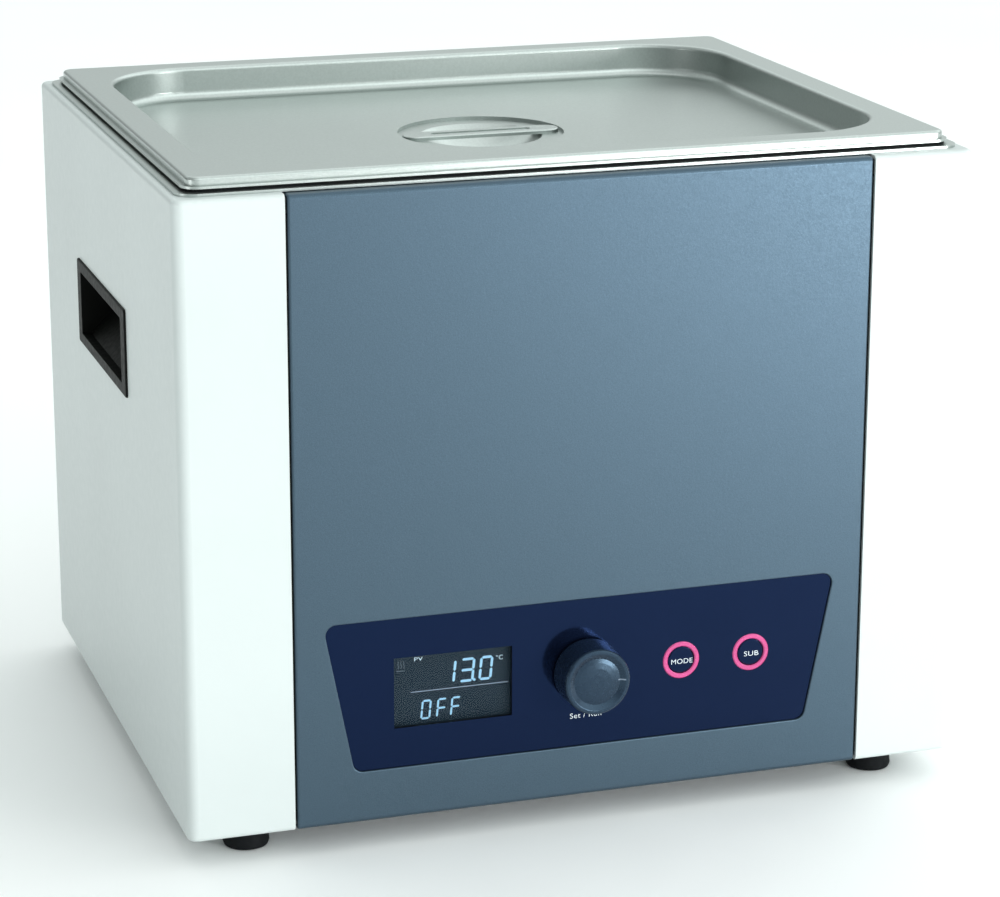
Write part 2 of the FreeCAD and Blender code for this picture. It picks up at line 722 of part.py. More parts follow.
def lid():
    lip_z = TANK_TOP + cell("seal_thick")
    top = lip_z + cell("lid_height")
    sheet_t = cell("lid_sheet")
    floor_z = top - cell("lid_recess")
    lip = cell("lid_lip")
    corner = cell("crown_corner")
    crown = plate("lid_crown", cell("lid_length"), cell("lid_breadth"), cell("lid_height"),
                  (0.0, MIDDLE, lip_z), corner)
    high = cell("lid_height").value
    round_edges(crown, lambda b: b.ZMin > high - 0.01, cell("crown_edge"))
    lip_sheet = plate("lid_lip_sheet", cell("lid_length") + lip * 2, cell("lid_breadth") + lip * 2, sheet_t,
                      (0.0, MIDDLE, lip_z), corner + lip)
    under = plate("lid_under", cell("lid_length") - sheet_t * 2, cell("lid_breadth") - sheet_t * 2,
                  cell("lid_height") - sheet_t + 2.0, (0.0, MIDDLE, lip_z - 2.0), corner - sheet_t)
    rim = cut("lid_rim_sheet", fuse("lid_rim_blank", [crown, lip_sheet]), [under])
    tub_length = cell("lid_length") - cell("lid_rim") * 2
    tub_breadth = cell("lid_breadth") - cell("lid_rim") * 2
    tub_outside = drawn_block("lid_tub_outside", tub_length + sheet_t * 2, tub_breadth + sheet_t * 2,
                              cell("lid_recess") + sheet_t - 0.5, (0.0, MIDDLE, floor_z - sheet_t),
                              cell("lid_corner") + sheet_t, cell("lid_foot") + sheet_t)
    tub_inside = drawn_block("lid_tub_inside", tub_length, tub_breadth, cell("lid_recess") + 5.0,
                             (0.0, MIDDLE, floor_z), cell("lid_corner"), cell("lid_foot"))
    bowl_r = cell("bowl_radius").value
    drop = cell("bowl_depth").value - cell("dish_step").value
    ball_radius = (bowl_r ** 2 + drop ** 2) / (2 * drop)
    ball_z = floor_z - cell("bowl_depth") + ball_radius
    balls = []
    for name, radius in (("bowl_outside", ball_radius + sheet_t.value), ("bowl_inside", ball_radius)):
        ball = doc.addObject("Part::Sphere", name)
        bind(ball, Radius=radius)
        balls.append(put(ball, (0.0, MIDDLE, ball_z)))
    slab = block("bowl_slab", (80.0, 80.0, 20.0), (-40.0, MIDDLE - 40.0, floor_z - 0.5 - 20.0))
    cap = doc.addObject("Part::Common", "bowl_cap")
    cap.Base = balls[0]
    cap.Tool = slab
    step = cell("dish_step")
    dish_outside = rod("dish_outside", cell("dish_radius") + sheet_t, step + sheet_t - 0.5,
                       (0.0, MIDDLE, floor_z - step - sheet_t))
    dish_inside = rod("dish_inside", cell("dish_radius"), step + 1.0, (0.0, MIDDLE, floor_z - step))
    blank = fuse("lid_blank", [rim, tub_outside, cap, dish_outside])
    hollow_floor = cut("lid_hollow_floor", blank, [tub_inside])
    hollow_dish = cut("lid_hollow_dish", hollow_floor, [dish_inside])
    pressed = cut("lid_pressed", hollow_dish, [balls[1]])
    doc.recompute()
    inner_x = (tub_length / 2).value + 0.01

    def tray_mouth(box):
        return (abs(box.ZMin - top.value) < 0.01 and box.ZLength < 0.01
                and box.XMax < inner_x and box.XMin > -inner_x)

    node(bent("lid_bent", pressed, tray_mouth, "lid_bend"), "lid_pan")
    strap = plate("strap_sheet", cell("strap_length"), cell("strap_width"), cell("strap_thick"),
                  (0.0, MIDDLE, floor_z - step), 5.9)
    thick = cell("strap_thick").value
    round_edges(strap, lambda b: b.ZMin > thick - 0.01, 0.6)
    groove = plate("strap_groove", 46.0, 3.4, 2.0,
                   (0.0, MIDDLE, floor_z - step + cell("strap_thick") - 0.6), 1.6)
    node(cut("strap_pressed", strap, [groove]), "lid_handle_strap")


# ---------------------------------------------------------------- controls


def front_plate(name, corners, depth, thick):
    """A plate in the XZ plane from its front face back, its corners measured from the casing's foot."""
    body = new_body(name, (0.0, depth, UNDER))
    sketch = sketch_on(body, "XZ_Plane")
    outline(sketch, corners)
    pad(body, sketch, thick, back=True)
    round_edges(body, lambda b: b.XLength < 0.01 and b.ZLength < 0.01, cell("panel_corner"))
    return body


def through_ways(prefix, button_radius, bush_radius):
    """Openings that the overlay and the frame share: the window, the knob's bush and the two buttons."""
    long = 30.0
    start = FRONT - 10.0
    ways = [block(prefix + "_window", (cell("window_wide"), long, cell("window_high")),
                  (cell("window_x") - cell("window_wide") / 2, start, WINDOW_Z - cell("window_high") / 2)),
            rod(prefix + "_bush_way", bush_radius, long, (KNOB_X, start, CONTROL_Z), "y")]
    for label, x in BUTTON_PLACES.items():
        ways.append(rod("%s_%s_way" % (prefix, label), button_radius, long, (x, start, BUTTON_Z), "y"))
    return ways


FRAME_STUDS = [(x, z) for x in (-62.0, 62.0) for z in (PANEL_FOOT - 3.2, PANEL_TOP + 3.2)]
BOARD_POSTS = [(x, z) for x in (-91.0, 91.0) for z in (PANEL_FOOT + 9.0, PANEL_TOP - 9.0)]


def control_panel():
    overlay = front_plate("overlay_film", trapezoid(as_size(-0.1)), FRONT + cell("recess"),
                          cell("overlay_thick"))
    node(cut("overlay_cut", overlay, through_ways("overlay", 8.3, 8.0)), "control_overlay")
    frame = front_plate("frame_blank", trapezoid(cell("frame_flange")), FRAME_FRONT, cell("frame_thick"))
    tools = through_ways("frame", 7.1, 3.6)
    for label, x in BUTTON_PLACES.items():
        tools.append(rod("frame_%s_seat" % label, 8.3, 11.0, (x, FRAME_FRONT - 10.0, BUTTON_Z), "y"))
    lens_wide = cell("window_wide") + 5.0
    lens_high = cell("window_high") + 5.0
    lens_thick = cell("lens_thick")
    tools.append(block("frame_lens_seat", (lens_wide, 10.0, lens_high),
                       (cell("window_x") - lens_wide / 2, FRAME_BACK - lens_thick, WINDOW_Z - lens_high / 2)))
    for i, (x, z) in enumerate(FRAME_STUDS):
        tools.append(rod("frame_stud_way_%d" % i, 1.7, 20.0, (x, FRONT - 5.0, z), "y"))
    node(cut("frame_cut", frame, tools), "control_frame")
    studs = [rod("frame_stud_%d" % i, 1.5, 8.0, (x, FRAME_FRONT, z), "y")
             for i, (x, z) in enumerate(FRAME_STUDS)]
    nuts = [cut("frame_nut_%d" % i, hexagon("frame_nut_blank_%d" % i, 3.2, 2.4, (x, FRAME_BACK, z), "y"),
                [rod("frame_nut_bore_%d" % i, 1.55, 6.0, (x, FRAME_BACK - 1.0, z), "y")])
            for i, (x, z) in enumerate(FRAME_STUDS)]
    node(group("frame_stud_set", studs + nuts), "frame_fasteners")
    lens_wide = lens_wide - PANEL_FIT
    lens_high = lens_high - PANEL_FIT
    node(block("lens", (lens_wide, lens_thick, lens_high),
               (cell("window_x") - lens_wide / 2, FRAME_BACK - lens_thick, WINDOW_Z - lens_high / 2)),
         "display_lens")
    node(block("display", (cell("display_wide"), 4.4, cell("display_high")),
               (cell("window_x") - cell("display_wide") / 2, FRAME_BACK + cell("display_gap"),
                WINDOW_Z - cell("display_high") / 2)), "display_module")


def control_board():
    board = block("board_sheet", (190.0, cell("board_thick"), PANEL_TOP - PANEL_FOOT - 9.0),
                  (-95.0, BOARD_FRONT, PANEL_FOOT + 4.5))
    holes = [rod("board_hole_%d" % i, 1.7, 10.0, (x, BOARD_FRONT - 4.0, z), "y")
             for i, (x, z) in enumerate(BOARD_POSTS)]
    node(cut("board_drilled", board, holes), "control_board")
    posts = []
    screws = []
    for i, (x, z) in enumerate(BOARD_POSTS):
        blank = rod("post_blank_%d" % i, 3.0, BOARD_FRONT - FRAME_BACK, (x, FRAME_BACK, z), "y")
        post_bore = rod("post_bore_%d" % i, 1.3, 7.0, (x, BOARD_FRONT - 6.0, z), "y")
        posts.append(cut("post_%d" % i, blank, [post_bore]))
        screws.append(screw("board_screw_%d" % i, (x, BOARD_BACK, z), "-y", *SMALL_SCREW))
    node(group("board_post_set", posts + screws), "board_fasteners")
    switches = []
    for label, x in BUTTON_PLACES.items():
        case = block(label + "_switch_case", (6.2, 3.0, 6.2), (x - 3.1, BOARD_FRONT - 3.0, BUTTON_Z - 3.1))
        nub = rod(label + "_switch_nub", 1.7, 1.0, (x, BOARD_FRONT - 3.5, BUTTON_Z), "y")
        switches.append(fuse(label + "_switch", [case, nub]))
    node(group("switch_set", switches), "tact_switches")


def knob_parts():
    """The knob with its bevelled face, and the rotary encoder behind the frame that carries it."""
    centre = (KNOB_X, FRONT, CONTROL_Z)
    face = -cell("knob_proud")
    base = 0.1
    cavity = -3.5
    shaft_end = -9.5
    shaft_back = 12.1
    knob_profile = [
        (0.0, face + 0.3), (3.0, face + 0.3), (6.0, face + 0.5), (8.4, face + 0.9), (10.1, face + 1.35),
        (12.3, face + 0.05), (12.5, face), (13.4, face), (14.0, face + 0.4), (14.35, face + 1.1),
        (14.8, -1.2), (14.5, base),
        (8.5, base), (8.5, cavity), (3.02, cavity), (3.02, shaft_end - 0.3), (0.0, shaft_end - 0.3),
    ]
    node(turned("knob_turned", knob_profile, centre, "y"), "control_knob")
    shaft = rod("shaft", 3.0, shaft_back - shaft_end, (KNOB_X, FRONT + shaft_end, CONTROL_Z), "y")
    node(shaft, "encoder_shaft")
    node(rod("plunger", 2.9, 1.2, (KNOB_X, FRONT + shaft_back, CONTROL_Z), "y"), "encoder_plunger")
    case_front = FRAME_BACK + 0.05
    case = block("encoder_case", (12.4, BOARD_FRONT - case_front, 12.4),
                 (KNOB_X - 6.2, case_front, CONTROL_Z - 6.2))
    bush_front = FRONT - 0.6
    bush = rod("encoder_bush", 3.5, FRAME_BACK + 0.5 - bush_front, (KNOB_X, bush_front, CONTROL_Z), "y")
    bore = rod("encoder_bore", 3.06, 24.0, (KNOB_X, FRONT - 4.0, CONTROL_Z), "y")
    node(cut("encoder_drilled", fuse("encoder_blank", [case, bush]), [bore]), "encoder_body")
    nut = hexagon("encoder_nut_blank", 5.8, 2.0, (KNOB_X, FRAME_FRONT - 2.0, CONTROL_Z), "y")
    nut_bore = rod("encoder_nut_bore", 3.55, 6.0, (KNOB_X, FRAME_FRONT - 4.0, CONTROL_Z), "y")
    node(cut("encoder_nut_drilled", nut, [nut_bore]), "encoder_nut")


def buttons():
    rings = []
    for label, x in BUTTON_PLACES.items():
        centre = (x, FRONT, BUTTON_Z)
        cap = [(0.0, 0.85), (5.4, 0.85), (5.85, 1.2), (5.85, 2.7), (6.8, 2.7), (6.8, 3.7), (2.0, 3.7),
               (2.0, 9.8), (0.0, 9.8)]
        node(turned(label + "_cap", cap, centre, "y"), label + "_button")
        ring = [(6.1, 2.5), (6.1, 1.1), (6.5, 0.75), (7.8, 0.75), (8.2, 1.1), (8.2, 2.5)]
        rings.append(turned(label + "_ring", ring, centre, "y"))
    node(group("ring_set", rings), "button_rings")


# ---------------------------------------------------------------- mains side


def inlet():
    """Mains inlet with a fuse drawer under its socket, in the rear panel."""
    x = cell("inlet_x")
    proud = cell("rear_proud")
    flange = block("inlet_flange", (40.0, proud, 50.0), (x - 20.0, REAR, INLET_Z - 25.0))
    wide, high = INLET_BODY
    barrel = block("inlet_barrel", (wide, 24.0, high), (x - wide / 2, REAR - 24.0, INLET_Z - high / 2))
    socket = block("inlet_socket", (24.2, 19.0, 17.0), (x - 12.1, REAR + proud - 18.0, INLET_Z + 1.5))
    drawer_way = block("inlet_drawer_way", (25.0, 24.0, 11.0),
                       (x - 12.5, REAR + proud - 23.0, INLET_Z - 19.0))
    screw_columns = (x - INLET_SCREW_X, x + INLET_SCREW_X)
    screw_ways = [rod("inlet_screw_way_%d" % i, 1.6, 10.0, (side, REAR - 3.0, INLET_Z), "y")
                  for i, side in enumerate(screw_columns)]
    seats = [rod("inlet_screw_seat_%d" % i, 3.0, 3.0, (side, REAR + proud - 1.8, INLET_Z), "y")
             for i, side in enumerate(screw_columns)]
    pin_places = [(x - 7.0, INLET_Z + 8.0), (x + 7.0, INLET_Z + 8.0), (x, INLET_Z + 12.0)]
    pin_ways = [block("inlet_pin_way_%d" % i, (2.1, 30.0, 4.1), (px - 1.05, REAR - 28.0, pz - 0.05))
                for i, (px, pz) in enumerate(pin_places)]
    inlet_blank = fuse("inlet_blank", [flange, barrel])
    node(cut("inlet_cut", inlet_blank, [socket, drawer_way, *screw_ways, *seats, *pin_ways]), "mains_inlet")
    pins = [block("inlet_pin_%d" % i, (2.0, 28.0, 4.0), (px - 1.0, REAR - 28.0, pz))
            for i, (px, pz) in enumerate(pin_places)]
    node(group("inlet_pin_set", pins), "inlet_pins")
    screws = [screw("inlet_screw_%d" % i, (side, REAR + proud - 1.8, INLET_Z), "-y", 2.8, 1.5, 1.4, 9.0)
              for i, side in enumerate(screw_columns)]
    node(group("inlet_screw_set", screws), "inlet_screws")
    drawer = block("drawer_blank", (24.2, 21.6, 10.2), (x - 12.1, REAR + proud - 22.0, INLET_Z - 18.6))
    fuse_z = INLET_Z - 13.5
    trays = [block("drawer_tray_%d" % i, (7.0, 20.6, 12.0), (cx - 3.5, REAR + proud - 22.6, fuse_z - 2.8))
             for i, cx in enumerate((x - 6.0, x + 6.0))]
    grip = block("drawer_grip_way", (10.0, 1.2, 2.0), (x - 5.0, REAR + proud - 1.2, INLET_Z - 18.8))
    node(cut("drawer_cut", drawer, [*trays, grip]), "fuse_drawer")
    fuses = [rod("fuse_%d" % i, 2.5, 18.6, (cx, REAR + proud - 21.4, fuse_z), "y")
             for i, cx in enumerate((x - 6.0, x + 6.0))]
    node(group("fuse_set", fuses), "fuses")


ROCKER_TILT = 10.0


def rocker_switch():
    x = cell("rocker_x")
    pivot_y = REAR - 2.0
    flange = block("rocker_flange", (17.0, 1.6, 25.0), (x - 8.5, REAR, INLET_Z - 12.5))
    wide, high = ROCKER_BODY
    barrel = block("rocker_barrel", (wide, 16.0, high), (x - wide / 2, REAR - 16.0, INLET_Z - high / 2))
    way = block("rocker_way", (11.4, 14.0, 18.8), (x - 5.7, REAR - 9.0, INLET_Z - 9.4))
    pivot_way = rod("rocker_pivot_way", 1.25, 12.8, (x - 6.4, pivot_y, INLET_Z), "x")
    tabs = [block("rocker_tab_%d" % i, (6.3, 9.0, 0.8), (x - 3.15, REAR - 25.0, INLET_Z + z))
            for i, z in enumerate((-6.0, 5.2))]
    housing = fuse("rocker_housing_blank", [flange, barrel])
    node(cut("rocker_housing_cut", housing, [way, pivot_way]), "rocker_housing")
    node(group("rocker_tab_set", tabs), "rocker_tabs")
    key = new_body("rocker_key", (x, pivot_y, INLET_Z), Rotation(Vector(1, 0, 0), ROCKER_TILT))
    sketch = sketch_on(key, "YZ_Plane")
    outline(sketch, [(3.3, -8.2), (2.2, 0.0), (3.3, 8.2), (1.0, 8.2), (-2.6, 3.0), (-2.6, -3.0), (1.0, -8.2)])
    pad(key, sketch, as_size(11.0), centred=True)
    pivots = rod("rocker_pivot", 1.2, 12.6, (x - 6.3, pivot_y, INLET_Z), "x")
    node(fuse("rocker_fused", [key, pivots]), "power_rocker")


BOARD_Z = 26.0
POWER_EDGE = 20.0
POWER_POSTS = [(x, y) for x in (-15.0, 105.0) for y in (25.0, 105.0)]


def power_supply():
    board = block("power_sheet", (130.0, 90.0, 1.6), (-20.0, POWER_EDGE, BOARD_Z))
    holes = [rod("power_hole_%d" % i, 1.7, 10.0, (x, y, BOARD_Z - 4.0))
             for i, (x, y) in enumerate(POWER_POSTS)]
    node(cut("power_drilled", board, holes), "power_board")
    blanks = [rod("power_post_blank_%d" % i, 3.0, BOARD_Z - BASE_TOP, (x, y, BASE_TOP))
              for i, (x, y) in enumerate(POWER_POSTS)]
    posts = [cut("power_post_%d" % i, blank, [rod("power_post_bore_%d" % i, 1.3, 7.0, (x, y, BOARD_Z - 6.0))])
             for i, (blank, (x, y)) in enumerate(zip(blanks, POWER_POSTS))]
    screws = [screw("power_screw_%d" % i, (x, y, BOARD_Z + 1.6), "-z", *SMALL_SCREW)
              for i, (x, y) in enumerate(POWER_POSTS)]
    node(group("power_post_set", posts + screws), "power_fasteners")
    deck = BOARD_Z + 1.6
    core = block("transformer_core", (44.0, 26.0, 36.0), (-10.0, 60.0, deck))
    coil = block("transformer_coil", (26.0, 38.0, 24.0), (-1.0, 54.0, deck + 6.0))
    node(fuse("transformer_block", [core, coil]), "transformer")
    node(block("relay_case", (28.0, 12.0, 20.0), (44.0, 66.0, deck)), "heater_relay")
    plinth = block("sink_plinth", (40.0, 3.0, 30.0), (50.0, 40.0, deck))
    fins = [block("sink_fin_%d" % i, (2.0, 12.0, 30.0), (50.0 + i * 7.6, 28.0, deck)) for i in range(6)]
    node(fuse("sink_fused", [plinth, *fins]), "triac_heatsink")
    strip = block("terminal_blank", (48.0, 14.0, 13.0), (54.0, 86.0, deck))
    wells = [rod("terminal_well_%d" % i, 2.4, 10.0, (60.0 + i * 12.0, 93.0, deck + 7.0)) for i in range(4)]
    node(cut("terminal_cut", strip, wells), "terminal_strip")


def rounded_path(points, share=0.45):
    """Straight runs joined by tangent arcs, each as large as its shorter run allows."""
    points = [Vector(*p) for p in points]
    edges = []
    start = points[0]
    for before, corner, after in zip(points, points[1:], points[2:]):
        inward = (before - corner).normalize()
        onward = (after - corner).normalize()
        reach = share * min((before - corner).Length, (after - corner).Length)
        first = corner + inward * reach
        last = corner + onward * reach
        half_turn = (math.pi - inward.getAngle(onward)) / 2
        radius = reach * math.tan(math.pi / 2 - half_turn)
        centre_way = (inward + onward).normalize()
        centre = corner + centre_way * math.hypot(reach, radius)
        middle = centre + (corner - centre).normalize() * radius
        edges.append(Part.LineSegment(start, first).toShape())
        edges.append(Part.Arc(first, middle, last).toShape())
        start = last
    edges.append(Part.LineSegment(start, points[-1]).toShape())
    return Part.Wire(edges)


def wire(points, radius):
    """One round lead along its path."""
    path = rounded_path(points)
    direction = Vector(*points[1]) - Vector(*points[0])
    ring = Part.Wire([Part.Circle(Vector(*points[0]), direction, radius).toShape()])
    solid = path.makePipeShell([ring], True, True)
    expected = path.Length * math.pi * radius ** 2
    if abs(solid.Volume - expected) > 0.02 * expected:
        raise RuntimeError("a lead's volume is off")
    return solid


def wires():
    """Leads inside the casing. Each node is a set of tubes."""
    def lead_node(label, solids):
        obj = doc.addObject("Part::Feature", label + "_tubes")
        obj.Shape = Part.makeCompound(solids)
        obj.Placement = Placement(Vector(0, 0, 0), Rotation())
        node(obj, label)

    inlet_x = cell("inlet_x").value
    inlet_z = INLET_Z.value
    back = REAR.value - 28.4
    deck = BOARD_Z + 1.6
    well = deck + 8.0
    mains = [[(inlet_x + dx, back, inlet_z + 10.0), (inlet_x + dx, back - 14.0, inlet_z + 10.0),
              (tx, 100.0, inlet_z + 4.0), (tx, 93.0, inlet_z - 4.0), (tx, 93.0, well)]
             for dx, tx in ((-7.0, 84.0), (7.0, 96.0))]
    lead_node("mains_leads", [wire(path, 1.2) for path in mains])
    heater_top = TANK_UNDER.value - 3.2
    heat = [[(tx, 93.0, well), (tx, 93.0, well + 34.0), (hx, 90.0, well + 62.0), (hx, 87.0, heater_top)]
            for tx, hx in ((60.0, 52.0), (72.0, 70.0))]
    lead_node("heater_leads", [wire(path, 1.4) for path in heat])
    probe_end = MIDDLE.value - 17.5
    board_back = BOARD_BACK.value + 1.0
    probe = [(-125.0, probe_end, TANK_UNDER.value - 2.6), (-125.0, probe_end - 32.0, TANK_UNDER.value - 4.0),
             (-118.0, probe_end - 62.0, 106.0), (-92.0, board_back + 22.0, 86.0), (-82.0, board_back, 70.0)]
    lead_node("probe_lead", [wire(probe, 1.2)])
    ribbon = new_body("ribbon_strip", (20.0, BOARD_BACK + 0.2, BASE_TOP + 4.0))
    sketch = sketch_on(ribbon, "YZ_Plane")
    riser = POWER_EDGE - 1.5 - BOARD_BACK - 0.2
    outline(sketch, [(0.0, 26.0), (9.0, 26.0), (9.0, 1.0), (riser - 1.0, 1.0), (riser - 1.0, 10.0),
                     (riser + 6.0, 10.0), (riser + 6.0, 9.0), (riser, 9.0), (riser, 0.0), (8.0, 0.0),
                     (8.0, 25.0), (0.0, 25.0)])
    pad(ribbon, sketch, as_size(20.0))
    node(ribbon, "ribbon_cable")


# ---------------------------------------------------------------- the whole bath

side_panels()
front_panel()
rear_panel()
base_plate()
joint_straps()
feet()
rear_screws()
handle_cups()
tank()
flange_fixing()
insulation()
heater()
shelf()
lid()
control_panel()
control_board()
knob_parts()
buttons()
inlet()
rocker_switch()
power_supply()
wires()
doc.recompute()

for obj in doc.Objects:
    if "Invalid" in obj.State or "Error" in obj.State:
        raise RuntimeError("%s failed: %s" % (obj.Name, obj.State))
for obj in NODES:
    if obj.Shape.isNull() or not obj.Shape.isValid() or not obj.Shape.Solids:
        raise RuntimeError("%s has no valid solid" % obj.Label)

os.makedirs("parts", exist_ok=True)
for obj in NODES:
    obj.Shape.exportStep("parts/%s.step" % obj.Label)
print("%d nodes written" % len(NODES))
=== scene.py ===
import json
import math
import bmesh
import bpy
from mathutils import Matrix, Vector


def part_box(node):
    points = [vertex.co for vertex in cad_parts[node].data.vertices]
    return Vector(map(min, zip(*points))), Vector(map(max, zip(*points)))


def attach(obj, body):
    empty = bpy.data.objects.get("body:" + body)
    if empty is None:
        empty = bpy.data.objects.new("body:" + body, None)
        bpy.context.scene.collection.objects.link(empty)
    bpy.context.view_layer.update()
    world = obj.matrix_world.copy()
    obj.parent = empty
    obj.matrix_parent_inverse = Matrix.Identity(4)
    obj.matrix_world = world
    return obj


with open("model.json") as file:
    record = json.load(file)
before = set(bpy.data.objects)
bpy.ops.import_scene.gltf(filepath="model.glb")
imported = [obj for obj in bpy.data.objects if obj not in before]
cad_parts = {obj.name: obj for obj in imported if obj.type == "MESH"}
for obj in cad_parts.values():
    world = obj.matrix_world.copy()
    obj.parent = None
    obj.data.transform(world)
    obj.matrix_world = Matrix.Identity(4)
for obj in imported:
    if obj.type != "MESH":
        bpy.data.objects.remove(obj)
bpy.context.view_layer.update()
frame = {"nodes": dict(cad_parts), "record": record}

NODES = frame["nodes"]
MM = 0.001

# ---------------------------------------------------------------- reference places

PANEL_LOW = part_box("front_panel")[0]
FRONT_Y = PANEL_LOW.y
UNDER_Z = PANEL_LOW.z
OVERLAY_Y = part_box("control_overlay")[0].y
DISPLAY_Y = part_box("display_module")[0].y
KNOB_LOW, KNOB_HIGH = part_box("control_knob")
KNOB_X = (KNOB_LOW.x + KNOB_HIGH.x) / 2
KNOB_Z = (KNOB_LOW.z + KNOB_HIGH.z) / 2


def middle(node):
    low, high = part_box(node)
    return (low + high) / 2


# ---------------------------------------------------------------- material helpers


class Look:
    """A node material with one Principled shader, read in the row frame's own coordinates."""

    def __init__(self, name):
        self.material = bpy.data.materials.new(name)
        self.material.use_nodes = True
        self.tree = self.material.node_tree
        self.tree.nodes.clear()
        self.shader = self.tree.nodes.new("ShaderNodeBsdfPrincipled")
        output = self.tree.nodes.new("ShaderNodeOutputMaterial")
        self.tree.links.new(self.shader.outputs["BSDF"], output.inputs["Surface"])
        self.place = self.tree.nodes.new("ShaderNodeTexCoord").outputs["Object"]

    def node(self, kind, **settings):
        made = self.tree.nodes.new(kind)
        for key, value in settings.items():
            if hasattr(made, key):
                setattr(made, key, value)
            else:
                made.inputs[key.replace("_", " ")].default_value = value
        return made

    def link(self, start, end):
        self.tree.links.new(start, end)

    def set(self, **sockets):
        for key, value in sockets.items():
            self.shader.inputs[key.replace("_", " ")].default_value = value
        return self

    def noise(self, scale, detail=2.0, roughness=0.5):
        made = self.node("ShaderNodeTexNoise", Scale=scale, Detail=detail, Roughness=roughness)
        self.link(self.place, made.inputs["Vector"])
        return made.outputs["Fac"]

    def cells(self, scale):
        made = self.node("ShaderNodeTexVoronoi", Scale=scale)
        self.link(self.place, made.inputs["Vector"])
        return made.outputs["Distance"]

    def colours(self, source, dark, light, start=0.3, end=0.7):
        ramp = self.node("ShaderNodeValToRGB")
        ramp.color_ramp.elements[0].position = start
        ramp.color_ramp.elements[0].color = (*dark, 1.0)
        ramp.color_ramp.elements[1].position = end
        ramp.color_ramp.elements[1].color = (*light, 1.0)
        self.link(source, ramp.inputs["Fac"])
        self.link(ramp.outputs["Color"], self.shader.inputs["Base Color"])

    def rough(self, source, low, high, start=0.3, end=0.7):
        made = self.node("ShaderNodeMapRange")
        for key, value in zip(("From Min", "From Max", "To Min", "To Max"), (start, end, low, high)):
            made.inputs[key].default_value = value
        self.link(source, made.inputs["Value"])
        self.link(made.outputs["Result"], self.shader.inputs["Roughness"])

    def bump(self, source, strength, depth):
        made = self.node("ShaderNodeBump", Strength=strength, Distance=depth)
        self.link(source, made.inputs["Height"])
        self.link(made.outputs["Normal"], self.shader.inputs["Normal"])


def shade(colour, factor):
    return tuple(min(1.0, channel * factor) for channel in colour)


def powder_coat(name, colour, roughness=0.38):
    """Sprayed and baked paint: a very fine orange peel over a faint cloudiness."""
    look = Look(name)
    look.colours(look.noise(9.0, 3.0), shade(colour, 0.97), shade(colour, 1.02))
    look.rough(look.noise(240.0, 2.0), roughness - 0.04, roughness + 0.05)
    look.bump(look.noise(1500.0, 2.0), 0.22, 0.00006)
    return look.set(Specular_IOR_Level=0.5).material


def metallic_paint(name, colour):
    """Satin metallic paint with a fine leathery grain and bright flakes."""
    look = Look(name)
    look.colours(look.noise(2600.0, 2.0, 0.6), shade(colour, 0.88), shade(colour, 1.14), 0.32, 0.70)
    look.rough(look.noise(900.0, 2.0), 0.36, 0.46)
    look.bump(look.noise(1000.0, 2.0), 0.34, 0.00007)
    return look.set(Metallic=0.88, Specular_IOR_Level=0.4).material


def satin_steel(name, colour, roughness=0.30):
    """Pressed stainless sheet with a bright satin face and a very fine grain."""
    look = Look(name)
    look.colours(look.noise(900.0, 2.0, 0.6), shade(colour, 0.95), shade(colour, 1.05))
    look.rough(look.noise(14.0, 2.0, 0.5), roughness - 0.005, roughness + 0.01)
    look.bump(look.noise(2400.0, 2.0, 0.6), 0.06, 0.00001)
    return look.set(Metallic=1.0).material


def moulded_plastic(name, colour, roughness, grain=1400.0, depth=0.00005, shine=0.45, tint=(1.0, 1.0, 1.0)):
    """Moulded plastic with a fine spark-eroded texture."""
    look = Look(name)
    look.colours(look.noise(60.0, 3.0), shade(colour, 0.9), shade(colour, 1.12))
    look.rough(look.noise(400.0, 2.0), roughness - 0.05, roughness + 0.07)
    look.bump(look.cells(grain), 0.2, depth)
    return look.set(Specular_IOR_Level=shine, Specular_Tint=(*tint, 1.0)).material


def rubber(name, colour):
    """Dull rubber with a fine grain."""
    look = Look(name)
    look.colours(look.noise(120.0, 3.0), shade(colour, 0.8), shade(colour, 1.3))
    look.rough(look.noise(500.0, 2.0), 0.62, 0.8)
    look.bump(look.noise(1100.0, 3.0), 0.3, 0.00006)
    return look.set(Specular_IOR_Level=0.12).material


def printed_film(name, colour, roughness=0.12, shine=0.55, tint=(0.16, 0.34, 1.0)):
    """A printed polyester film: a glossy face over deep colour."""
    look = Look(name)
    look.colours(look.noise(16.0, 2.0), shade(colour, 0.94), shade(colour, 1.06))
    look.rough(look.noise(1800.0, 2.0), roughness - 0.03, roughness + 0.03)
    look.bump(look.noise(900.0, 2.0), 0.05, 0.00001)
    return look.set(Specular_IOR_Level=shine, Specular_Tint=(*tint, 1.0)).material


def plain_metal(name, colour, roughness):
    """Plated or turned metal with faint spots of age."""
    look = Look(name)
    look.colours(look.noise(180.0, 4.0), shade(colour, 0.86), shade(colour, 1.05))
    look.rough(look.noise(350.0, 3.0), roughness - 0.06, roughness + 0.1)
    look.bump(look.noise(1600.0, 2.0), 0.15, 0.00003)
    return look.set(Metallic=1.0).material


def printed_ink(name, colour, glow=0.0):
    """Opaque printing ink, which can also stand for a lit mark; on plain print its glow is painted light.
    """
    look = Look(name)
    look.colours(look.noise(700.0, 2.0), shade(colour, 0.95), shade(colour, 1.05))
    look.rough(look.noise(900.0, 2.0), 0.42, 0.52)
    look.set(Emission_Color=(*colour, 1.0), Emission_Strength=glow)
    return look.material


def smoked_glass(name, colour, alpha):
    """Smooth tinted glass or acrylic that can be seen through."""
    look = Look(name)
    look.colours(look.noise(40.0, 2.0), shade(colour, 0.95), shade(colour, 1.05))
    look.rough(look.noise(300.0, 2.0), 0.06, 0.1)
    return look.set(Alpha=alpha, Specular_IOR_Level=0.4, Specular_Tint=(0.7, 0.86, 1.0, 1.0)).material


